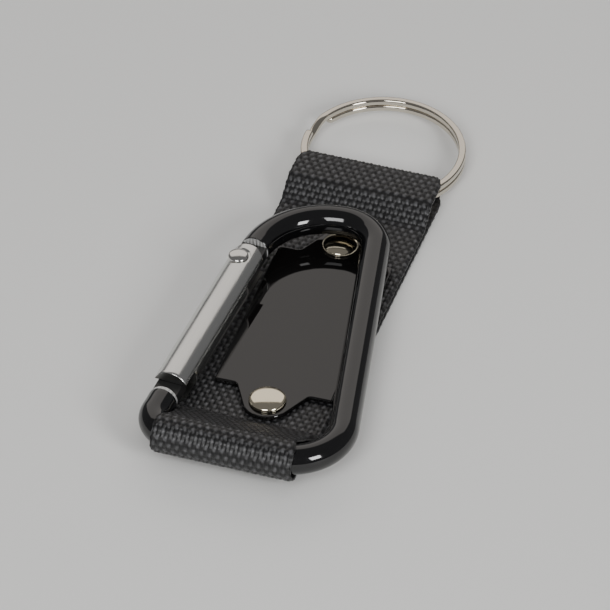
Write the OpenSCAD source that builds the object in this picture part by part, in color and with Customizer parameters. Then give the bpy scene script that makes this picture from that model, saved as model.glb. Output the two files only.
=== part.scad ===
// Carabiner keyring: a clip folded back over a riveted webbing strap, with a split ring at the far end.
// +X runs across the strap, +Y along it towards the split ring, +Z up. The strap lies on z = 0, and the
// origin is under the plate's middle.

/* [Strap] */
// Width of the webbing
strap_w = 25.4; // [20:0.1:26]
// Thickness of one ply of webbing
ply_t = 1.2; // [1:0.1:1.4]
// Where the ring end of the strap folds over
strap_end = 42.9; // [42:0.1:43.5]
// Where the strap flexes between the plate and the ring
flex_y = 27.4; // [26.5:0.1:27.5]

/* [Plate] */
// Width of the name plate
plate_w = 20.2; // [16:0.1:21]
// Thickness of the name plate
plate_t = 0.7; // [0.5:0.05:0.7]
// Distance between the two plate rivets
rivet_pitch = 41.5; // [40:0.1:42]
// Distance between the square shoulders at the plate's two ends
shoulder_pitch = 35.6; // [34:0.1:36]
// Radius of the lug round each rivet
lug_r = 4.1; // [3.6:0.1:4.4]
// Width of a lug where it leaves its shoulder
neck_w = 12.4; // [11:0.1:14]
// How far the plate sits to one side of the strap's middle
plate_shift = 1.4; // [0:0.05:2]
// How far the plate is turned from square to the strap, in degrees
plate_turn = 1.3; // [0:0.1:2]
// Diameter of a rivet head
head_d = 6.3; // [5:0.1:7]

/* [Carabiner] */
// Diameter of the carabiner's rod
rod_d = 5; // [4.6:0.1:5.2]
// Length of the carabiner between rod centres, bar to arch
clip_len = 59.6; // [59:0.1:60.2]
// Lean of the gate side towards the middle, in degrees
gate_lean = 3.2; // [2.9:0.1:3.5]
// Lean of the spine towards the middle, in degrees
spine_lean = 11.4; // [10:0.1:12]
// Radius of the arch on the spine side, to the rod's centre
arch_r = 6.75; // [6:0.05:8]
// Radius of the corner between bar and spine, to the rod's centre
corner_r = 8.5; // [7:0.1:9]
// Radius of the corner between bar and nose, to the rod's centre
nose_r = 4.2; // [4:0.1:4.5]

/* [Gate] */
// Diameter of the gate
gate_d = 6.2; // [6:0.1:6.3]
// Distance from the bar's centre to the gate's free end
gate_start = 10.8; // [10.4:0.1:11]
// Distance from the bar's centre to the gate's hinged end
gate_end = 45.6; // [45.2:0.1:45.9]
// Thickness of the tongues that the gate's two slots close over
tongue_t = 2.2; // [2:0.1:2.4]
// Diameter of the gate's hinge rivet
pin_d = 2; // [1.8:0.1:2.2]

/* [Split ring] */
// Outside diameter of the split ring
ring_d = 28.6; // [28:0.1:29]
// Width of the ring's wire, measured along a radius
wire_w = 1.4; // [1.2:0.1:1.6]
// Height of one turn of the ring's wire
wire_h = 1.25; // [1.1:0.05:1.3]

/* [Hidden] */
$fn = 64;
eps = 0.01;

// Levels of the layers, from the surface up
strap_top = 2 * ply_t;
plate_top = strap_top + plate_t;
head_h = 1.2;
head_top = plate_top + head_h;

// Place of the plate and its rivets
post_d = 2.4;
cap_d = 6.3;
cap_h = 0.5;

// The carabiner's own frame: its origin is on the bar's axis, u across, v along, w up
rod_r = rod_d / 2;
gate_r = gate_d / 2;
bar_y = -36.8;
bar_z = 6.1;
arch_z = head_top + rod_r + 0.15;
clip_tilt = asin((arch_z - bar_z) / clip_len);
gate_u = -13.7;
arch_u = 1.55;
// Radius of the arch on the gate side, from its tangency with the gate's line
arch_gate_r = (cos(gate_lean) * (arch_u - gate_u) - sin(gate_lean) * clip_len) / (1 - sin(gate_lean));
spine_d = cos(spine_lean) * arch_u + sin(spine_lean) * (clip_len - arch_r) + arch_r;
corner_u = (spine_d - corner_r * (1 + sin(spine_lean))) / cos(spine_lean);
nose_u = gate_u + nose_r * (1 + sin(gate_lean)) / cos(gate_lean);

// The gate's hinge and the machined ends of the rod
shoulder_v = 47.8;
nose_v = 8.2;
pivot_v = 42.3;
pivot_u = -12.05;
seam_h = 0.03;
slot_clear = 0.15;
slot_t = tongue_t + 2 * slot_clear;
tang_end = 3.6;
slot_end = pivot_v - tang_end - 1.3;
pin_clear = 0.05;

// The spring and its plunger, in the gate
bore_r = 1.3;
plunger_r = 1.2;
plunger_len = 4;
spring_len = 7.5;
spring_wire = 0.35;
tip_gap = 0.15;
spring_gap = 0.02;
bore_len = plunger_len + spring_len + 2 * spring_gap;
pin_half = gate_r - 0.25;
pin_head_r = 1.75;

// The strap's flexing line, and the ring's loop beyond it
flex_gap = 0.05;
ring_gap = 0.15;
loop_gap = 2 * wire_h + 2 * ring_gap;
ring_z = ply_t + loop_gap / 2;
ring_y = 47.3;
ring_r = ring_d / 2;
wire_gap = 0.02;

// The strap's loop round the bar: its inner radius, where its plies meet, and how far it keeps in from
// the strap's two edges to pass between the clip's sides
bar_loop_r = rod_r + 0.7;
bar_loop_end = -26.3;
bar_loop_left = 2.1;
bar_loop_right = 1.5;

function gate_axis(v) = gate_u + v * tan(gate_lean);

// Where the tangent from p touches the circle of radius r round c, on the side above or below
function tangent_point(c, r, p, side) =
    let (d = p - c, a = atan2(d[1], d[0]) + side * acos(min(1, r / norm(d))))
    c + r * [cos(a), sin(a)];

// Places its children in the carabiner's own frame
module in_clip() {
    translate([0, bar_y, bar_z]) rotate([clip_tilt, 0, 0]) children();
}

// Places its children in the plate's own frame, square to the plate, on the strap's surface
module in_plate() {
    translate([plate_shift, 0, 0]) rotate([0, 0, plate_turn]) children();
}

// An arc of the rod round centre c, from angle a1 through the angle sweep
module rod_arc(c, r, a1, sweep) {
    translate([c[0], c[1], 0]) rotate([0, 0, a1]) rotate_extrude(angle = sweep, $fn = 96)
        translate([r, 0]) circle(rod_r, $fn = 32);
}

// A straight stretch of the rod from p to q
module rod_line(p, q) {
    d = q - p;
    translate([p[0], p[1], 0]) rotate([0, 0, atan2(d[1], d[0])]) rotate([0, 90, 0])
        cylinder(h = norm(d), r = rod_r, $fn = 32);
}

// A hair-thin band that closes the seam where two stretches of the rod meet at p, running along angle a
module rod_seam(p, a) {
    translate([p[0], p[1], 0]) rotate([0, 0, a]) rotate([0, 90, 0])
        cylinder(h = 0.3, r = rod_r + seam_h, center = true, $fn = 32);
}

// A flat tongue lying in the carabiner's plane
module tongue(t) {
    translate([0, 0, -t / 2]) linear_extrude(t) children();
}

module carabiner_body() {
    left = 180 - gate_lean;
    spine_dir = [cos(spine_lean), sin(spine_lean)];
    arch_c = [arch_u, clip_len - arch_r];
    corner_c = [corner_u, corner_r];
    spine_top = arch_c + arch_r * spine_dir;
    spine_bottom = corner_c + corner_r * spine_dir;
    nose_bend = [nose_u, nose_r] + nose_r * [cos(left), sin(left)];
    color("#0b0b0c") in_clip() {
        difference() {
            union() {
                rod_arc([arch_u, clip_len - arch_gate_r], arch_gate_r, 90, 90 - gate_lean);
                rod_seam([arch_u, clip_len], 0);
                rod_arc(arch_c, arch_r, spine_lean, 90 - spine_lean);
                rod_seam(spine_top, 90 + spine_lean);
                rod_line(spine_bottom, spine_top);
                rod_seam(spine_bottom, 90 + spine_lean);
                rod_arc(corner_c, corner_r, -90, 90 + spine_lean);
                rod_seam([corner_u, 0], 0);
                rod_line([nose_u, 0], [corner_u, 0]);
                rod_seam([nose_u, 0], 0);
                rod_arc([nose_u, nose_r], nose_r, left, 90 + gate_lean);
                rod_seam(nose_bend, 90 - gate_lean);
                rod_line(nose_bend, [gate_axis(nose_v + 1), nose_v + 1]);
            }
            translate([-30, nose_v, -rod_d]) cube([26, shoulder_v - nose_v, 2 * rod_d]);
        }
        nose_tongue();
        hinge_tang();
    }
}

// The tongue on the nose, which the gate's free end closes over
module nose_tongue() {
    reach = gate_start + 2.4;
    tongue(tongue_t) polygon([
        [gate_axis(nose_v) - 2.1, nose_v - 1],
        [gate_axis(nose_v) + 2.1, nose_v - 1],
        [gate_axis(reach) + 2.1, reach - 1],
        [gate_axis(reach) + 1.4, reach],
        [gate_axis(reach) - 2.1, reach]
    ]);
}

// The tang below the hinge shoulder, with the hole for the gate's pin
module hinge_tang() {
    end_v = pivot_v - tang_end;
    tongue(tongue_t) difference() {
        polygon([
            [gate_axis(end_v) - 2.2, end_v],
            [gate_axis(end_v) + 2.3, end_v],
            [gate_axis(shoulder_v) + 2.2, shoulder_v + 1],
            [gate_axis(shoulder_v) - 2.2, shoulder_v + 1]
        ]);
        translate([pivot_u, pivot_v]) circle((pin_d / 2) + pin_clear);
    }
}

module gate() {
    color("#b9bab8") in_clip() difference() {
        translate([gate_u, 0, 0]) rotate([0, 0, -gate_lean]) {
            difference() {
                translate([0, gate_start, 0]) rotate([-90, 0, 0])
                    cylinder(h = gate_end - gate_start, r = gate_r);
                translate([0, pivot_v - tang_end - tip_gap - bore_len, 0]) rotate([-90, 0, 0])
                    cylinder(h = bore_len, r = bore_r, $fn = 32);
            }
        }
        translate([-25, gate_start - 1, -slot_t / 2]) cube([25, 4.6, slot_t]);
        translate([-25, slot_end, -slot_t / 2]) cube([25, 12, slot_t]);
        translate([pivot_u, pivot_v, -gate_d]) cylinder(h = 2 * gate_d, r = pin_d / 2 + pin_clear);
        for (side = [0, 1]) mirror([0, 0, side]) translate([pivot_u, pivot_v, pin_half - 0.03])
            cylinder(h = gate_r, r = pin_head_r + 0.15);
    }
}

module gate_pin() {
    dome = 0.75;
    dome_r = (pin_head_r * pin_head_r + dome * dome) / (2 * dome);
    color("#c9c9c6") in_clip() translate([pivot_u, pivot_v, 0]) {
        translate([0, 0, -pin_half]) cylinder(h = 2 * pin_half, r = pin_d / 2);
        for (side = [0, 1]) mirror([0, 0, side]) intersection() {
            translate([0, 0, pin_half + dome - dome_r]) sphere(dome_r);
            translate([0, 0, pin_half]) cylinder(h = dome + 1, r = pin_head_r);
        }
    }
}

// Places its children on the gate's axis, just past the tang's end, pointing towards the nose
module in_gate_bore() {
    in_clip() translate([gate_u, 0, 0]) rotate([0, 0, -gate_lean])
        translate([0, pivot_v - tang_end - tip_gap, 0]) rotate([90, 0, 0]) children();
}

module gate_plunger() {
    color("#8f8f8c") in_gate_bore() {
        translate([0, 0, 0.4]) cylinder(h = plunger_len - 0.4, r = plunger_r, $fn = 32);
        cylinder(h = 0.4 + eps, r1 = plunger_r - 0.4, r2 = plunger_r, $fn = 32);
    }
}

// The spring, as the sleeve that its turns fill
module gate_spring() {
    color("#9a9a96") in_gate_bore() translate([0, 0, plunger_len + spring_gap]) difference() {
        cylinder(h = spring_len, r = plunger_r - 0.05, $fn = 32);
        translate([0, 0, -1]) cylinder(h = spring_len + 2, r = plunger_r - 0.05 - spring_wire, $fn = 32);
    }
}

// Profile of the bar's loop, grown outwards: round the bar, then straight to where the plies lie flat
module bar_loop_outline(grow) {
    r = bar_loop_r + grow;
    centre = [bar_y, bar_z];
    far_top = [bar_loop_end, ply_t + grow];
    far_low = [bar_loop_end, ply_t - grow];
    translate(centre) circle(r);
    polygon([
        centre,
        tangent_point(centre, r, far_top, 1),
        far_top,
        far_low,
        tangent_point(centre, r, far_low, -1)
    ]);
}

module across_strap(w) {
    translate([-w / 2, 0, 0]) rotate([90, 0, 90]) linear_extrude(w) children();
}

module strap() {
    loop_w = strap_w - bar_loop_left - bar_loop_right;
    color("#161617") difference() {
        union() {
            translate([-strap_w / 2, bar_loop_end - 0.5, 0])
                cube([strap_w, flex_y - bar_loop_end + 0.5, strap_top]);
            translate([(bar_loop_left - bar_loop_right) / 2, 0, 0]) across_strap(loop_w)
                intersection() {
                    bar_loop_outline(ply_t);
                    translate([bar_loop_end - 20, 0]) square([20, 20]);
                }
        }
        across_strap(strap_w + 2) bar_loop_outline(0);
        in_plate() for (side = [-1, 1]) translate([0, side * rivet_pitch / 2, -1]) {
            cylinder(h = 10, d = post_d);
            cylinder(h = 1 + cap_h, d = cap_d);
        }
    }
}

// The strap from its flexing line to the fold that holds the split ring
module strap_ring_loop() {
    flat = 1;
    taper = 2.2;
    high = 2 * ply_t + loop_gap;
    fold_y = strap_end - high / 2;
    start = flex_y + flex_gap + ply_t;
    color("#161617") difference() {
        union() {
            across_strap(strap_w) difference() {
                union() {
                    translate([start, ply_t]) circle(ply_t);
                    polygon([
                        [start, 0],
                        [start, strap_top],
                        [start + flat, strap_top],
                        [start + flat + taper, high],
                        [fold_y + eps, high],
                        [fold_y + eps, 0]
                    ]);
                }
                translate([start + flat + taper, ply_t]) square([fold_y - start, loop_gap]);
            }
            translate([-strap_w / 2, fold_y, high / 2]) rotate([90, 0, 90]) rotate([0, 0, -90])
                rotate_extrude(angle = 180) translate([loop_gap / 2, 0]) square([ply_t, strap_w]);
        }
        ring_clearance();
    }
}

// The ring that the split ring sweeps as it turns, with room round it
module ring_clearance() {
    translate([0, ring_y, ring_z - loop_gap / 2]) difference() {
        cylinder(h = loop_gap, r = ring_r + ring_gap, $fn = 160);
        translate([0, 0, -1]) cylinder(h = loop_gap + 2, r = ring_r - wire_w - ring_gap, $fn = 160);
    }
}

// Outline of the plate: a rectangle with a lug at each end, whose straight sides run tangent to its round tip
module plate_outline() {
    end = rivet_pitch / 2;
    half_neck = neck_w / 2;
    below = end - shoulder_pitch / 2;
    tangent = acos(lug_r / norm([half_neck, below])) - atan2(below, half_neck);
    square([plate_w, shoulder_pitch], center = true);
    for (side = [0, 1]) mirror([0, side]) {
        translate([0, end]) circle(lug_r);
        polygon([
            [-half_neck, end - below - 1],
            [half_neck, end - below - 1],
            [half_neck, end - below],
            [lug_r * cos(tangent), end + lug_r * sin(tangent)],
            [-lug_r * cos(tangent), end + lug_r * sin(tangent)],
            [-half_neck, end - below]
        ]);
    }
}

module name_plate() {
    color("#1a1817") in_plate() translate([0, 0, strap_top]) difference() {
        linear_extrude(plate_t) plate_outline();
        for (side = [-1, 1]) translate([0, side * rivet_pitch / 2, -1]) cylinder(h = 4, d = post_d);
    }
}

// A rivet: a low domed head on the plate and a post down through the strap
module rivet(side) {
    head_r = head_d / 2;
    rim = 0.45;
    dome = head_h - rim;
    dome_r = (head_r * head_r + dome * dome) / (2 * dome);
    color("#cfc6b4") in_plate() translate([0, side * rivet_pitch / 2, 0]) {
        translate([0, 0, cap_h]) cylinder(h = plate_top - cap_h + eps, d = post_d);
        translate([0, 0, plate_top]) {
            cylinder(h = rim, r = head_r);
            intersection() {
                translate([0, 0, head_h - dome_r]) sphere(dome_r, $fn = 96);
                translate([0, 0, rim - eps]) cylinder(h = dome + 1, r = head_r);
            }
        }
    }
}

// The cap that the post is set into, pressed flush into the strap's underside
module rivet_cap(side) {
    color("#cfc6b4") in_plate() translate([0, side * rivet_pitch / 2, 0]) cylinder(h = cap_h, d = cap_d);
}

module split_ring() {
    mid_r = ring_r - wire_w / 2;
    color("#b8ada0") translate([0, ring_y, ring_z]) for (turn = [0, 1]) mirror([0, 0, turn])
        translate([0, 0, wire_gap / 2]) rotate_extrude($fn = 160) translate([mid_r - wire_w / 2, 0])
            square([wire_w, wire_h - wire_gap / 2]);
}

strap();
strap_ring_loop();
name_plate();
rivet(-1);  // rivet_bar_end
rivet(1);  // rivet_ring_end
rivet_cap(-1);  // rivet_cap_bar_end
rivet_cap(1);  // rivet_cap_ring_end
carabiner_body();
gate();
gate_pin();
gate_spring();
gate_plunger();
split_ring();
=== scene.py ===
import math

import bmesh
import bpy
import numpy as np
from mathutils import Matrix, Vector


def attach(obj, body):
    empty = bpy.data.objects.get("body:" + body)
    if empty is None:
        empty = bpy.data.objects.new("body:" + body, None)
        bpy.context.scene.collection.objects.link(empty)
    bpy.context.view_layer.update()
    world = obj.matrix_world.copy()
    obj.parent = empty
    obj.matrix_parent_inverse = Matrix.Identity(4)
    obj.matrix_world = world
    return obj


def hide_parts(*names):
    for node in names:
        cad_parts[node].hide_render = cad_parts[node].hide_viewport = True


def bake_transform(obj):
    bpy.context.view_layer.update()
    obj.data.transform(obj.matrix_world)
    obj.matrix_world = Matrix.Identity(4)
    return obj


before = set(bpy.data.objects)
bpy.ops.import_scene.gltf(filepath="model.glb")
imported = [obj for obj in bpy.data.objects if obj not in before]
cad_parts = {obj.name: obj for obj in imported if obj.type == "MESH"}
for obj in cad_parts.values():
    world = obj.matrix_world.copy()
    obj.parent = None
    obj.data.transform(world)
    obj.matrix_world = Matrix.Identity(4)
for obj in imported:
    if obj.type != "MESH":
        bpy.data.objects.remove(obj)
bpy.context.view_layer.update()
MM = 0.001

# ---------------------------------------------------------------------------------------------------
# The strap. One band of black nylon webbing, 25.4 mm wide and 1.1 mm thick, in a coarse plain weave.
# It runs round the carabiner's bar and round the split ring, and its cut ends lap under the plate,
# where the two rivets hold them.
BAR = (-36.8, 6.1)
thick = 1.1
bar_wrap = 2.5 + 0.04 + 0.9 / 2
fold_c = (40.3, 2.6)
fold_r = 2.0


def tangent(c, r, p, side):
    dy, dz = p[0] - c[0], p[1] - c[1]
    angle = math.atan2(dz, dy) + side * math.acos(r / math.hypot(dy, dz))
    return angle


top_foot = (-25.4, 1.8)
low_foot = (-28.0, 0.6)
a_top = tangent(BAR, bar_wrap, top_foot, 1)
a_low = tangent(BAR, bar_wrap, low_foot, -1) + 2 * math.pi
path = [(0.0, 0.6), (fold_c[0], 0.6)]
for k in range(1, 33):
    a = -math.pi / 2 + math.pi * k / 32
    path.append((fold_c[0] + fold_r * math.cos(a), fold_c[1] + fold_r * math.sin(a)))
path += [(34.4, 4.6), (30.1, 1.82), (28.4, 1.8), top_foot]
for k in range(49):
    a = a_top + (a_low - a_top) * k / 48
    path.append((BAR[0] + bar_wrap * math.cos(a), BAR[1] + bar_wrap * math.sin(a)))
path += [low_foot]
path = np.array(path)
closed = np.vstack([path, path[:1]])
step = np.hypot(*np.diff(closed, axis=0).T)
run = np.concatenate([[0], np.cumsum(step)])
fine = 4000
s_fine = np.linspace(0, run[-1], fine, endpoint=False)
yz = np.stack([np.interp(s_fine, run, closed[:, k]) for k in (0, 1)], 1)
# the cloth can't turn sharply, so the corners of its route are rounded off
reach = np.arange(-60, 61)
soft = np.exp(-0.5 * (reach * run[-1] / fine / 0.55) ** 2)
soft /= soft.sum()
wide_yz = np.vstack([yz[-60:], yz, yz[:60]])
yz = np.stack([np.convolve(wide_yz[:, k], soft, mode="valid") for k in (0, 1)], 1)
loop = np.vstack([yz, yz[:1]])
run = np.concatenate([[0], np.cumsum(np.hypot(*np.diff(loop, axis=0).T))])
band_length = run[-1]

yarns, picks, samples = 34, 160, 4
rows = picks * samples
s_row = np.linspace(0, band_length, rows, endpoint=False)
centre = np.stack([np.interp(s_row, run, loop[:, k]) for k in (0, 1)], 1)
ahead = np.roll(centre, -1, 0) - np.roll(centre, 1, 0)
ahead /= np.hypot(*ahead.T)[:, None]
outward = np.stack([ahead[:, 1], -ahead[:, 0]], 1)


def smooth_step(x):
    x = np.clip(x, 0, 1)
    return x * x * (3 - 2 * x)


y_row, z_row = centre.T
past_fold = smooth_step((y_row - 37.9) / 4.4)
near_bar = smooth_step((-26.4 - y_row) / 3.0)
at_bar = smooth_step((-34.4 - y_row) / 2.6)
left_edge = -12.7 + 1.1 * past_fold ** 2 + 2.15 * near_bar - 1.1 * at_bar
right_edge = 12.7 - 1.1 * past_fold ** 2 - 1.5 * near_bar + 0.8 * at_bar
ragged = 0.05 * np.sin(s_row * 3.24) + 0.04 * np.sin(s_row * 7.1 + 1.0)
left_edge = left_edge + ragged
right_edge = right_edge + 0.8 * np.roll(ragged, 37)

# the cross-section, as (place across from -1 to 1, side of the band from -1 to 1), the outer face first
face = np.linspace(-1, 1, yarns * samples + 1)
section = [(a, 1.0) for a in face]
section += [(1.0, 0.45), (1.0, -0.45)]
section += [(a, -1.0) for a in np.linspace(1, -1, 9)]
section += [(-1.0, -0.45), (-1.0, 0.45)]
across = np.array([p[0] for p in section])
side = np.array([p[1] for p in section])
edge_round = 0.30 * np.clip((np.abs(across) - 0.965) / 0.035, 0, 1) ** 2 * (np.abs(side) > 0.9)
bulge = 0.16 * (np.abs(side) < 0.9)

x = (left_edge + right_edge)[:, None] / 2 + (right_edge - left_edge)[:, None] / 2 * across[None, :]
column = np.broadcast_to((across[None, :] + 1) / 2 * yarns, x.shape)
i = np.floor(column)
fx = column - i - 0.5
s = s_row[:, None] / band_length * picks
# warp yarns run along the band and cross over one pick and under the next
warp = 0.13 * np.cos(math.pi * (s + i)) + 0.26 * (np.sqrt(np.clip(1 - (2.0 * fx) ** 2, 0.01, 1)) - 1)
j = np.floor(s + 0.5)
fs = s + 0.5 - j - 0.5
weft = -0.13 * np.cos(math.pi * (j + column - 0.5)) - 0.04 + 0.26 * (
    np.sqrt(np.clip(1 - (2.0 * fs) ** 2, 0.01, 1)) - 1)
cloth = np.maximum(warp, weft) - 0.13
weave = np.clip(cloth, -0.4, 0.0) * (side[None, :] > 0.9)
# the carabiner's bends push out the two edges of the fold round its bar, on the plate's side only
push = 8.5 - np.sqrt(8.5 ** 2 - np.clip(x - 8.7, 0, 5) ** 2)
push = push + 4.2 - np.sqrt(4.2 ** 2 - np.clip(-9.26 - x, 0, 4) ** 2)
push = push * (smooth_step((-30.0 - y_row) / 4.0) * np.clip(outward[:, 0], 0, 1))[:, None]
# stretched round the bar, the webbing is thinner
half_thick = (thick - 0.2 * smooth_step((-31.0 - y_row) / 3.0)) / 2
offset = (half_thick[:, None] - edge_round[None, :]) * side[None, :] + weave + push
x = x + np.sign(across)[None, :] * bulge[None, :]
points = np.stack([
    x,
    centre[:, 0][:, None] + outward[:, 0][:, None] * offset,
    centre[:, 1][:, None] + outward[:, 1][:, None] * offset], 2)


def wrapped_grid(bm, points, loop_u=True, loop_v=False):
    """A grid of quads through points[j][i], closed round i and, if asked, round j."""
    rows, columns = points.shape[0], points.shape[1]
    made = bmesh.ops.create_grid(bm, x_segments=columns - (0 if loop_u else 1),
                                 y_segments=rows - (0 if loop_v else 1), size=1.0)["verts"]
    wide = columns + (1 if loop_u else 0)
    for k, vert in enumerate(made):
        j, i = divmod(k, wide)
        vert.co = points[j % rows][i % columns]
    bmesh.ops.remove_doubles(bm, verts=made, dist=1e-5)
    return made


bm = bmesh.new()
# painted light for each spot of a yarn, read by the material below: painted shade in the gaps between yarns
# and painted glints on the weft's crowns
painted_glint_and_gap_shade = bm.verts.layers.float.new("painted_glint_and_gap_shade")
made = wrapped_grid(bm, points, loop_u=True, loop_v=True)
# 0 in the gaps between yarns, as painted shade, and 1 on the crowns of the weft where it lies over the warp,
# as painted glints
height = np.where(side[None, :] > 0.9, np.clip(1 + weave / 0.3, 0, 1), 0.4)
height = height * np.where(weft > warp, 1.0, 0.3)
columns = len(section)
for k, vert in enumerate(made):
    if vert.is_valid:
        line, place = divmod(k, columns + 1)
        vert[painted_glint_and_gap_shade] = float(height[line % rows][place % columns])


def linear(hex_colour):
    """An sRGB hex colour as the linear RGBA that a shader takes."""
    out = []
    for k in (0, 2, 4):
        c = int(hex_colour[k:k + 2], 16) / 255
        out.append(c / 12.92 if c <= 0.04045 else ((c + 0.055) / 1.055) ** 2.4)
    return (*out, 1.0)


def add(tree, kind, links=None, **values):
    """Adds a shader node, sets its properties and input values, and links its inputs."""
    node = tree.nodes.new(kind)
    for key, value in values.items():
        if hasattr(node, key):
            setattr(node, key, value)
        else:
            node.inputs[key.replace("_", " ")].default_value = value
    for name, socket in (links or {}).items():
        tree.links.new(socket, node.inputs[name])
    return node


def new_material(name, **values):
    """A material with one Principled shader, its tree and that shader."""
    made = bpy.data.materials.new(name)
    made.use_nodes = True
    tree = made.node_tree
    shader = tree.nodes["Principled BSDF"]
    for key, value in values.items():
        shader.inputs[key.replace("_", " ")].default_value = value
    return made, tree, shader


# dyed nylon yarn, woven: dull black, lifted towards grey by the painted-light attribute, with painted shade
# in the gaps and painted glints where a weft yarn turns over the top, broken up by a random tone
webbing, tree, shader = new_material(
    "black_nylon_webbing", Roughness=0.42, Sheen_Weight=0.0, Sheen_Roughness=0.4, IOR=1.52)
coords = add(tree, "ShaderNodeTexCoord")
tone = add(tree, "ShaderNodeTexNoise", {"Vector": coords.outputs["Object"]}, Scale=1400.0, Detail=3.0)
# the painted shade and painted glints of the weave, from the attribute above, drive the base colour's ramp
level = add(tree, "ShaderNodeAttribute", attribute_name="painted_glint_and_gap_shade")
mixed = add(tree, "ShaderNodeMath", operation="MULTIPLY")
tree.links.new(level.outputs["Fac"], mixed.inputs[0])
tree.links.new(tone.outputs["Fac"], mixed.inputs[1])
ramp = add(tree, "ShaderNodeValToRGB", {"Fac": mixed.outputs["Value"]})
ramp.color_ramp.elements[0].position = 0.12
ramp.color_ramp.elements[0].color = linear("0b0b0c")
ramp.color_ramp.elements[1].position = 0.62
ramp.color_ramp.elements[1].color = linear("5a5a5c")
tree.links.new(ramp.outputs["Color"], shader.inputs["Base Color"])
stretch = add(tree, "ShaderNodeMapping", {"Vector": coords.outputs["Object"]}, Scale=(9.0, 2.2, 5.0))
filaments = add(tree, "ShaderNodeTexNoise", {"Vector": stretch.outputs["Vector"]}, Scale=900.0, Detail=4.0)
relief = add(tree, "ShaderNodeBump", {"Height": filaments.outputs["Fac"]}, Strength=0.5, Distance=0.00012)
tree.links.new(relief.outputs["Normal"], shader.inputs["Normal"])


def finish_piece(name, bm, body, materials, nodes, smooth=True):
    """Makes the object from its bmesh, in millimetres, hangs it on its body's empty if it has one, and hides
    the model's parts that it replaces.
    """
    bmesh.ops.scale(bm, vec=(MM, MM, MM), verts=bm.verts)
    bmesh.ops.recalc_face_normals(bm, faces=bm.faces)
    mesh = bpy.data.meshes.new(name)
    for face in bm.faces:
        face.smooth = smooth
    bm.to_mesh(mesh)
    bm.free()
    piece = bpy.data.objects.new(name, mesh)
    bpy.context.scene.collection.objects.link(piece)
    for each in materials:
        mesh.materials.append(each)
    if body:
        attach(piece, body)
    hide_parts(*nodes)
    return piece


strap = finish_piece("strap_webbing", bm, None, [webbing], ["strap", "strap_ring_loop"])
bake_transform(strap)

# ---------------------------------------------------------------------------------------------------
# The name plate. A blank of 0.7 mm steel with a round-ended lug at each end, edges broken, in gloss
# black lacquer. Its two rivets hold it and the strap's lapped ends together.
PLATE = (1.4, 0.0)
turn = math.radians(1.3)
half_w, half_l, lug_r, lug_y, neck = 10.1, 17.8, 4.1, 20.75, 6.2


def in_plate(px, py):
    return (PLATE[0] + px * math.cos(turn) - py * math.sin(turn),
            PLATE[1] + px * math.sin(turn) + py * math.cos(turn))


below = lug_y - half_l
lug_a = math.acos(lug_r / math.hypot(neck, below)) - math.atan2(below, neck)
quarter = [(half_w, 0.0), (half_w, half_l), (neck, half_l)]
for k in range(25):
    a = lug_a + (math.pi / 2 - lug_a) * k / 24
    quarter.append((lug_r * math.cos(a), lug_y + lug_r * math.sin(a)))
outline = quarter[1:] + [(-px, py) for px, py in reversed(quarter[1:-1])]
outline = outline + [(-px, -py) for px, py in outline]
# the die leaves a small rounding at the shoulders' corners
rounded = []
count = len(outline)
for k, (px, py) in enumerate(outline):
    before, after = Vector(outline[k - 1]), Vector(outline[(k + 1) % count])
    here = Vector((px, py))
    if abs(abs(py) - half_l) > 1e-6:
        rounded.append(here)
        continue
    r = 0.45 if abs(abs(px) - half_w) < 1e-6 else 0.7
    p, q = here + (before - here).normalized() * r, here + (after - here).normalized() * r
    for m in range(7):
        t = m / 6
        rounded.append(p * (1 - t) ** 2 + here * 2 * t * (1 - t) + q * t * t)
bm = bmesh.new()
low = bm.faces.new([bm.verts.new((*in_plate(p.x, p.y), 2.42)) for p in rounded])
raised = bmesh.ops.extrude_face_region(bm, geom=[low])["geom"]
top_verts = [g for g in raised if isinstance(g, bmesh.types.BMVert)]
bmesh.ops.translate(bm, vec=(0, 0, 0.68), verts=top_verts)
rim = [e for e in bm.edges if all(v.co.z > 3.0 for v in e.verts)]
bmesh.ops.bevel(bm, geom=rim, offset=0.22, segments=4, profile=0.5, affect="EDGES")

# gloss lacquer: near-black, mirror-flat, with a trace of orange peel
lacquer, tree, shader = new_material(
    "gloss_black_lacquer", Base_Color=linear("0c0b0b"), Roughness=0.035, IOR=1.55)
coords = add(tree, "ShaderNodeTexCoord")
peel = add(tree, "ShaderNodeTexNoise", {"Vector": coords.outputs["Object"]}, Scale=420.0, Detail=1.0)
relief = add(tree, "ShaderNodeBump", {"Height": peel.outputs["Fac"]}, Strength=0.04, Distance=0.0001)
tree.links.new(relief.outputs["Normal"], shader.inputs["Normal"])
finish_piece("name_plate_black", bm, "strap", [lacquer], ["name_plate"], smooth=False)

# ---------------------------------------------------------------------------------------------------
# The two rivets. Turned brass, nickel plated: a low domed head on the plate, a post through the strap,
# and a flat cap pressed flush into the strap's underside.
nickel, tree, shader = new_material(
    "polished_nickel_plate", Base_Color=linear("e4dac2"), Metallic=1.0, Roughness=0.09)
coords = add(tree, "ShaderNodeTexCoord")
haze = add(tree, "ShaderNodeTexNoise", {"Vector": coords.outputs["Object"]}, Scale=700.0, Detail=3.0)
spread = add(tree, "ShaderNodeMapRange", {"Value": haze.outputs["Fac"]}, To_Min=0.06, To_Max=0.15)
tree.links.new(spread.outputs["Result"], shader.inputs["Roughness"])


def lathe(bm, profile, at, steps=96):
    """Spins a profile of (radius, height) round the upright axis at `at`, closed at both ends."""
    turns = [2 * math.pi * k / steps for k in range(steps)]
    rings = np.array([[(at[0] + r * math.cos(t), at[1] + r * math.sin(t), at[2] + z) for t in turns]
                      for r, z in profile])
    wrapped_grid(bm, rings)
    bmesh.ops.holes_fill(bm, edges=[e for e in bm.edges if e.is_boundary], sides=0)


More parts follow.
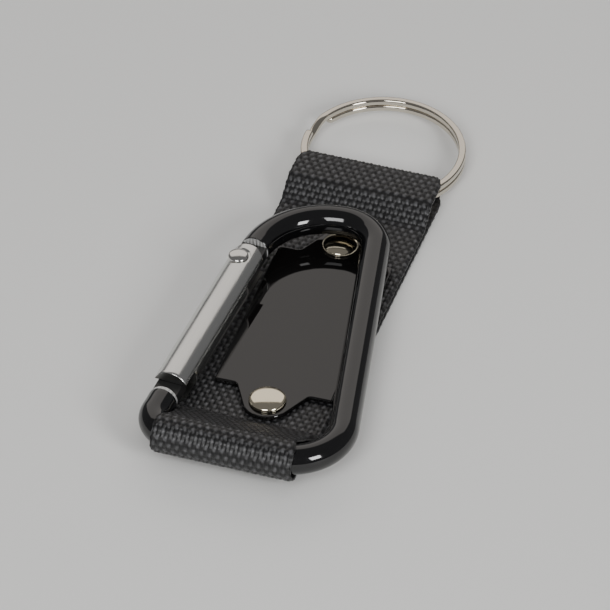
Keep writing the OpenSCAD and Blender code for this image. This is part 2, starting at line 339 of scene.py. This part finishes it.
head = [(1.2, -2.65), (1.2, 0.0), (3.0, 0.0), (3.12, 0.05), (3.15, 0.16), (3.12, 0.30)]
head += [(3.08 * math.cos(t), 0.34 + 0.84 * math.sin(t)) for t in np.linspace(0.12, math.pi / 2 - 0.02, 30)]
for name, sign in (("bar_end", -1), ("ring_end", 1)):
    rx, ry = in_plate(0, sign * lug_y)
    bm = bmesh.new()
    lathe(bm, head, (rx, ry, 3.11))
    finish_piece("rivet_" + name + "_head", bm, "strap", [nickel], ["rivet_" + name])
    bm = bmesh.new()
    lathe(bm, [(3.13, 0.02), (3.15, 0.08), (3.15, 0.46), (3.1, 0.5)], (rx, ry, 0.0))
    finish_piece("rivet_" + name + "_cap", bm, "strap", [nickel], ["rivet_cap_" + name])

# ---------------------------------------------------------------------------------------------------
# The carabiner's body. 5 mm aluminium rod bent cold to a lopsided D and coated gloss black, then its
# two ends milled flat, through the coating, to a tongue at the nose and a tang at the hinge.
ROD = 2.5
clip_len = 59.6
arch_z = 6.95
tilt = math.asin((arch_z - BAR[1]) / clip_len)
lean, spine_lean = math.radians(3.2), math.radians(11.4)
gate_u, arch_u, arch_r, corner_r, nose_r = -13.7, 1.55, 6.75, 8.5, 4.2
shoulder_v, nose_v, pivot_v, pivot_u = 47.8, 8.2, 42.3, -12.05


def in_clip(u, v, w):
    """From the carabiner's own frame, with its origin on the bar's axis, to the row's frame."""
    return (u, BAR[0] + v * math.cos(tilt) - w * math.sin(tilt),
            BAR[1] + v * math.sin(tilt) + w * math.cos(tilt))


def gate_axis(v):
    return gate_u + v * math.tan(lean)


arch_gate_r = (math.cos(lean) * (arch_u - gate_u) - math.sin(lean) * clip_len) / (1 - math.sin(lean))
spine_d = math.cos(spine_lean) * arch_u + math.sin(spine_lean) * (clip_len - arch_r) + arch_r
corner_u = (spine_d - corner_r * (1 + math.sin(spine_lean))) / math.cos(spine_lean)
nose_u = gate_u + nose_r * (1 + math.sin(lean)) / math.cos(lean)


def arc(c, r, a1, a2, n):
    return [(c[0] + r * math.cos(a1 + (a2 - a1) * k / n), c[1] + r * math.sin(a1 + (a2 - a1) * k / n))
            for k in range(n + 1)]


half_pi = math.pi / 2
gate_arc_c = (arch_u, clip_len - arch_gate_r)
start_a = math.pi - math.asin((shoulder_v - gate_arc_c[1]) / arch_gate_r)
route = arc(gate_arc_c, arch_gate_r, start_a, half_pi, 70)
route += arc((arch_u, clip_len - arch_r), arch_r, half_pi, spine_lean, 50)[1:]
route += arc((corner_u, corner_r), corner_r, spine_lean, -half_pi, 60)
route += arc((nose_u, nose_r), nose_r, -half_pi, -math.pi - lean, 50)
route += [(gate_axis(nose_v - g), nose_v - g) for g in (0.75, 0.4, 0.0)]
dense = [Vector(route[0])]
for p in route[1:]:
    p = Vector(p)
    gap = (p - dense[-1]).length
    if gap < 1e-4:
        continue
    parts = max(1, math.ceil(gap / 0.8)) if len(dense) > 1 else 6
    last = dense[-1].copy()
    dense += [last.lerp(p, (k + 1) / parts) for k in range(parts)]
route = np.array([tuple(p) for p in dense])
along = np.gradient(route, axis=0)
along /= np.hypot(*along.T)[:, None]
around = np.linspace(0, 2 * math.pi, 72, endpoint=False)
# the cutter has skimmed the nose's last 0.8 mm bare, and broken the edge of the hinge shoulder
from_end = np.concatenate([[0], np.cumsum(np.hypot(*np.diff(route, axis=0).T))])
to_end = from_end[-1] - from_end
shrink = 1 - 0.08 * np.clip(1 - to_end / 0.75, 0, 1) - 0.04 * np.clip(1 - from_end / 0.12, 0, 1)
rings = []
for p, d, k in zip(route, along, shrink):
    nx, ny = d[1], -d[0]
    rings.append([in_clip(p[0] + nx * ROD * k * math.cos(a), p[1] + ny * ROD * k * math.cos(a),
                          ROD * k * math.sin(a)) for a in around])
bm = bmesh.new()
wrapped_grid(bm, np.array(rings))
bmesh.ops.holes_fill(bm, edges=[e for e in bm.edges if e.is_boundary], sides=0)
nose_cut = Vector(in_clip(gate_axis(nose_v), nose_v, 0))
for end in bm.faces:
    near_nose = end.calc_center_median() - nose_cut
    end.material_index = 1 if len(end.verts) > 4 or (near_nose.length < 2.8 and near_nose.y > -0.72) else 0


def flat_tongue(bm, shape, thickness, material_index):
    """A flat tongue in the carabiner's plane, with the outline `shape` in (u, v)."""
    base = bm.faces.new([bm.verts.new(in_clip(u, v, -thickness / 2)) for u, v in shape])
    grown = bmesh.ops.extrude_face_region(bm, geom=[base])["geom"]
    up = Vector(in_clip(0, 0, thickness)) - Vector(in_clip(0, 0, 0))
    bmesh.ops.translate(bm, vec=up, verts=[g for g in grown if isinstance(g, bmesh.types.BMVert)])
    for g in [base] + [g for g in grown if isinstance(g, bmesh.types.BMFace)]:
        g.material_index = material_index
        for e in g.edges:
            for f in e.link_faces:
                f.material_index = material_index


nose_end = 13.2
flat_tongue(bm, [(gate_axis(nose_v) - 2.1, nose_v - 0.5), (gate_axis(nose_v) + 2.1, nose_v - 0.5),
                 (gate_axis(nose_end) + 2.1, nose_end - 1), (gate_axis(nose_end) + 1.4, nose_end),
                 (gate_axis(nose_end) - 2.1, nose_end)], 2.2, 2)
tang_v = pivot_v - 3.6
flat_tongue(bm, [(gate_axis(tang_v) - 2.2, tang_v), (gate_axis(tang_v) + 2.3, tang_v),
                 (gate_axis(shoulder_v) + 2.2, shoulder_v + 0.5),
                 (gate_axis(shoulder_v) - 2.2, shoulder_v + 0.5)], 2.2, 2)

# hard gloss coating on the rod, with the slight waviness that the bending left
coating, tree, shader = new_material(
    "gloss_black_coating", Base_Color=linear("0a0a0b"), Roughness=0.07, IOR=1.6)
coords = add(tree, "ShaderNodeTexCoord")
wavy = add(tree, "ShaderNodeTexNoise", {"Vector": coords.outputs["Object"]}, Scale=160.0, Detail=2.0)
relief = add(tree, "ShaderNodeBump", {"Height": wavy.outputs["Fac"]}, Strength=0.1, Distance=0.0003)
tree.links.new(relief.outputs["Normal"], shader.inputs["Normal"])
# bare milled aluminium: ridges about a quarter of a millimetre apart
milled, tree, shader = new_material(
    "milled_aluminium", Base_Color=linear("e2e2e0"), Metallic=0.6, Roughness=0.45)
coords = add(tree, "ShaderNodeTexCoord")
ridges = add(tree, "ShaderNodeTexWave", {"Vector": coords.outputs["Object"]}, bands_direction="X",
             Scale=520.0, Distortion=1.5, Detail=1.0)
relief = add(tree, "ShaderNodeBump", {"Height": ridges.outputs["Fac"]}, Strength=0.9, Distance=0.00015)
tree.links.new(relief.outputs["Normal"], shader.inputs["Normal"])
# the tang keeps its dark coating and is worn by the gate
worn, tree, shader = new_material("worn_dark_tang", Base_Color=linear("141414"), Metallic=0.0, Roughness=0.35)
body = finish_piece("carabiner_rod", bm, "carabiner",
                    [coating, milled, worn], ["carabiner_body"])
for polygon in body.data.polygons:
    if polygon.material_index:
        polygon.use_smooth = False

# ---------------------------------------------------------------------------------------------------
# The gate. 6.2 mm aluminium rod, satin and uncoated, slotted at both ends: the nose's tongue enters
# one slot, and the hinge's tang fills the other. A spot face seats the rivet's head on its crown.
GATE = 3.1
gate_start, gate_end = 10.8, 45.6
slot = 1.25
slot_low, slot_high = 14.4, 37.4
a_slot = math.asin(slot / GATE)
arc_n, side_n = 44, 14
upper = [a_slot + (math.pi - 2 * a_slot) * k / arc_n for k in range(arc_n + 1)]
left_side = [math.pi - a_slot + 2 * a_slot * k / side_n for k in range(1, side_n)]
lower = [a + math.pi for a in upper]
right_side = [a + math.pi for a in left_side]
ring_angles = upper + left_side + lower + right_side


def gate_point(a, g):
    """A point of the gate's surface at angle a round its axis and distance g along it."""
    across_gate, w = GATE * math.cos(a), GATE * math.sin(a)
    if g > gate_end - 3.2:
        room = (abs(across_gate) / GATE) ** 2.4 * 1.3
        g = min(g, gate_end - room)
    if g < gate_start + 0.16:
        across_gate *= 1 - 0.03 * (gate_start + 0.16 - g) / 0.16
        w *= 1 - 0.03 * (gate_start + 0.16 - g) / 0.16
    u = gate_u + g * math.sin(lean) + across_gate * math.cos(lean)
    v = g * math.cos(lean) - across_gate * math.sin(lean)
    if math.hypot(u - pivot_u, v - pivot_v) < 1.95:
        w = max(-2.84, min(2.84, w))
    return in_clip(u, v, w)


stations = [gate_start, gate_start + 0.05, gate_start + 0.1, gate_start + 0.16]
stations += list(np.linspace(gate_start + 0.6, slot_low, 6))
stations += list(np.linspace(slot_low, slot_high, 30))[1:]
stations += list(np.linspace(slot_high, gate_end, 66))[1:]
bm = bmesh.new()
levels = [[bm.verts.new(gate_point(a, g)) for a in ring_angles] for g in stations]
n_ring = len(ring_angles)
top_ids = list(range(0, arc_n + 1))
left_ids = list(range(arc_n, arc_n + side_n + 1))
low_ids = list(range(arc_n + side_n, 2 * arc_n + side_n + 1))
right_ids = list(range(2 * arc_n + side_n, n_ring)) + [0]
for k in range(len(stations) - 1):
    one, two = levels[k], levels[k + 1]
    solid = stations[k] >= slot_low - 1e-6 and stations[k + 1] <= slot_high + 1e-6
    if solid:
        pairs = [(m, (m + 1) % n_ring) for m in range(n_ring)]
    else:
        pairs = [(top_ids[m], top_ids[m + 1]) for m in range(arc_n)] + [(top_ids[-1], top_ids[0])]
        pairs += [(low_ids[m], low_ids[m + 1]) for m in range(arc_n)] + [(low_ids[-1], low_ids[0])]
    for m, n in pairs:
        quad = bm.faces.new([one[m], one[n], two[n], two[m]])
        quad.material_index = 1 if abs(m - n) > 1 and abs(m - n) < n_ring - 1 else 0
for k in (0, len(stations) - 1):
    for ids in (top_ids, low_ids):
        bm.faces.new([levels[k][m] for m in ids]).material_index = 1
for g in (slot_low, slot_high):
    k = min(range(len(stations)), key=lambda m: abs(stations[m] - g))
    wall = left_ids + right_ids
    bm.faces.new([levels[k][m] for m in wall]).material_index = 1
loose = [v for v in bm.verts if not v.link_faces]
bmesh.ops.delete(bm, geom=loose, context="VERTS")

# satin aluminium: fine drawn lines along the rod
satin, tree, shader = new_material(
    "satin_aluminium", Base_Color=linear("d2d2cf"), Metallic=1.0, Roughness=0.2)
coords = add(tree, "ShaderNodeTexCoord")
drawn = add(tree, "ShaderNodeMapping", {"Vector": coords.outputs["Object"]}, Scale=(6.0, 0.12, 6.0))
lines = add(tree, "ShaderNodeTexNoise", {"Vector": drawn.outputs["Vector"]}, Scale=700.0, Detail=4.0)
relief = add(tree, "ShaderNodeBump", {"Height": lines.outputs["Fac"]}, Strength=0.2, Distance=0.00005)
tree.links.new(relief.outputs["Normal"], shader.inputs["Normal"])
spread = add(tree, "ShaderNodeMapRange", {"Value": lines.outputs["Fac"]}, To_Min=0.16, To_Max=0.27)
tree.links.new(spread.outputs["Result"], shader.inputs["Roughness"])
# its slots and ends are sawn, which leaves them duller
sawn, tree, shader = new_material("sawn_aluminium", Base_Color=linear("70706e"), Metallic=1.0, Roughness=0.4)
gate = finish_piece("gate_rod", bm, "gate", [satin, sawn], ["gate"])
for polygon in gate.data.polygons:
    if polygon.material_index or abs(polygon.normal.z) > 0.9997 and polygon.center.z > 0.0092:
        polygon.use_smooth = False

# ---------------------------------------------------------------------------------------------------
# The hinge rivet. 2 mm steel, through both cheeks of the gate and the tang, each end set to a low dome.
steel, tree, shader = new_material("bright_steel", Base_Color=linear("d3d1cd"), Metallic=1.0, Roughness=0.14)


def in_clip_frame(bm):
    """Moves a bmesh from the carabiner's own frame to the row's."""
    for vert in bm.verts:
        vert.co = in_clip(*vert.co)


dome = [(1.0, -2.8), (1.0, 2.8), (1.62, 2.82), (1.74, 2.88), (1.75, 2.96)]
dome += [(1.72 * math.cos(t), 3.0 + 0.58 * math.sin(t)) for t in np.linspace(0.1, half_pi - 0.03, 18)]
low_dome = [(r, -z) for r, z in reversed(dome[2:])]
bm = bmesh.new()
lathe(bm, low_dome + dome, (pivot_u, pivot_v, 0.0), steps=64)
in_clip_frame(bm)
finish_piece("gate_rivet", bm, "carabiner", [steel], ["gate_pin"])

# ---------------------------------------------------------------------------------------------------
# The plunger and spring. A steel plunger in the gate's bore, pushed against the tang by a small coil
# spring, which shuts the gate.
bore_g = (pivot_v - 3.6 - 0.15)


def in_bore(across_bore, w, depth):
    g = bore_g - depth
    u = gate_u + g * math.sin(lean) + across_bore * math.cos(lean)
    return in_clip(u, g * math.cos(lean) - across_bore * math.sin(lean), w)


dark_steel, tree, shader = new_material(
    "dark_steel", Base_Color=linear("77756f"), Metallic=1.0, Roughness=0.3)
bm = bmesh.new()
# behind its shoulder it has a stem that the spring goes round
plunger = [(0.75, 0.02), (1.05, 0.2), (1.17, 0.45), (1.17, 3.2), (0.7, 3.21), (0.7, 3.98)]
lathe(bm, plunger, (0, 0, 0), steps=40)
for vert in bm.verts:
    vert.co = in_bore(*vert.co)
finish_piece("plunger_pin", bm, "plunger", [dark_steel], ["gate_plunger"])

coils, wire = 9, 0.17
bends = np.linspace(0, 1, coils * 28 + 1)
rings = []
for t in bends:
    a = 2 * math.pi * coils * t
    level = 4.0 + wire + 0.05 + (7.4 - 2 * wire) * t
    turn_of_wire = []
    for b in np.linspace(0, 2 * math.pi, 10, endpoint=False):
        out_r = 0.94 + wire * math.cos(b)
        turn_of_wire.append(in_bore(out_r * math.cos(a), out_r * math.sin(a), level + wire * math.sin(b)))
    rings.append(turn_of_wire)
bm = bmesh.new()
wrapped_grid(bm, np.array(rings))
bmesh.ops.holes_fill(bm, edges=[e for e in bm.edges if e.is_boundary], sides=0)
finish_piece("gate_coil_spring", bm, "gate", [dark_steel], ["gate_spring"])

# ---------------------------------------------------------------------------------------------------
# The split ring. Flattened spring-steel wire, nickel plated, coiled two turns tight on each other;
# beside the step from one turn to the next lie the wire's two ends.
RING = (0.0, 47.3, 2.6)
mid_r, wire_w, wire_h = 13.6, 1.34, 1.2
step_a, step_w = math.radians(176), math.radians(20)
total = 4 * math.pi - step_w - math.radians(3)
rings = []
around = np.linspace(0, 2 * math.pi, 28, endpoint=False)
count = 620
for k in range(count + 1):
    run_a = total * k / count
    a = step_a + run_a
    rise = float(smooth_step(np.array((run_a - (2 * math.pi - step_w)) / step_w)))
    z = RING[2] + (0.5 - rise) * (wire_h + 0.06)
    r = mid_r + 0.02 * math.sin(2 * a)
    taper = 1.0
    close = min(k, count - k)
    if close < 3:
        taper = (0.55, 0.86, 0.97)[close]
    ring = []
    for b in around:
        cb, sb = math.cos(b), math.sin(b)
        px = math.copysign(abs(cb) ** 0.62, cb) * wire_w / 2 * taper
        pz = math.copysign(abs(sb) ** 0.62, sb) * wire_h / 2 * taper
        ring.append((RING[0] + (r + px) * math.cos(a), RING[1] + (r + px) * math.sin(a), z + pz))
    rings.append(ring)
bm = bmesh.new()
wrapped_grid(bm, np.array(rings))
bmesh.ops.holes_fill(bm, edges=[e for e in bm.edges if e.is_boundary], sides=0)
ring_nickel, tree, shader = new_material(
    "polished_nickel_wire", Base_Color=linear("cfc8bb"), Metallic=1.0, Roughness=0.05)
coords = add(tree, "ShaderNodeTexCoord")
marks = add(tree, "ShaderNodeTexNoise", {"Vector": coords.outputs["Object"]}, Scale=300.0, Detail=2.0)
relief = add(tree, "ShaderNodeBump", {"Height": marks.outputs["Fac"]}, Strength=0.12, Distance=0.0002)
tree.links.new(relief.outputs["Normal"], shader.inputs["Normal"])
finish_piece("split_ring_coil", bm, "ring", [ring_nickel], ["split_ring"])

# ---------------------------------------------------------------------------------------------------
# The floor, the camera and the lights.
bpy.ops.mesh.primitive_plane_add(size=6)
floor = bpy.context.object
floor.name = "floor"
paper, tree, shader = new_material("pale_paper", Base_Color=linear("dcdcda"), Roughness=0.7)
floor.data.materials.append(paper)

camera = bpy.data.objects.new("camera", bpy.data.cameras.new("camera"))
camera.location = (0.24757, -0.74279, 0.67351)
camera.rotation_euler = (math.radians(49.57), 0, math.radians(18.33))
camera.data.lens = 365.1
camera.data.sensor_width = 36
bpy.context.scene.collection.objects.link(camera)
bpy.context.scene.camera = camera


def soft_light(name, place, size, power, aim=(0, 0, 0), glossy=True, colour=(1, 1, 1)):
    """A rectangular studio light at `place`, facing `aim`."""
    light = bpy.data.lights.new(name, "AREA")
    light.shape = "RECTANGLE"
    light.size, light.size_y = size
    light.energy = power
    light.color = colour
    made = bpy.data.objects.new(name, light)
    made.location = place
    made.rotation_euler = (Vector(aim) - Vector(place)).to_track_quat("-Z", "Y").to_euler()
    made.visible_glossy = glossy
    bpy.context.scene.collection.objects.link(made)


soft_light("back_card", (-0.42, 1.25, 1.05), (2.2, 1.3), 8.5, colour=(1, 0.94, 0.89))
soft_light("front_left_box", (0.0, -0.90, 0.78), (0.5, 0.5), 7.0)
soft_light("front_right_box", (0.84, -0.58, 0.58), (0.3, 0.4), 7.5)
soft_light("fill", (0.3, -0.5, 1.6), (1.8, 1.4), 7.0, glossy=False)
world = bpy.data.worlds.new("studio")
bpy.context.scene.world = world
world.use_nodes = True
world.node_tree.nodes["Background"].inputs["Color"].default_value = linear("c8c8ca")
world.node_tree.nodes["Background"].inputs["Strength"].default_value = 0.3
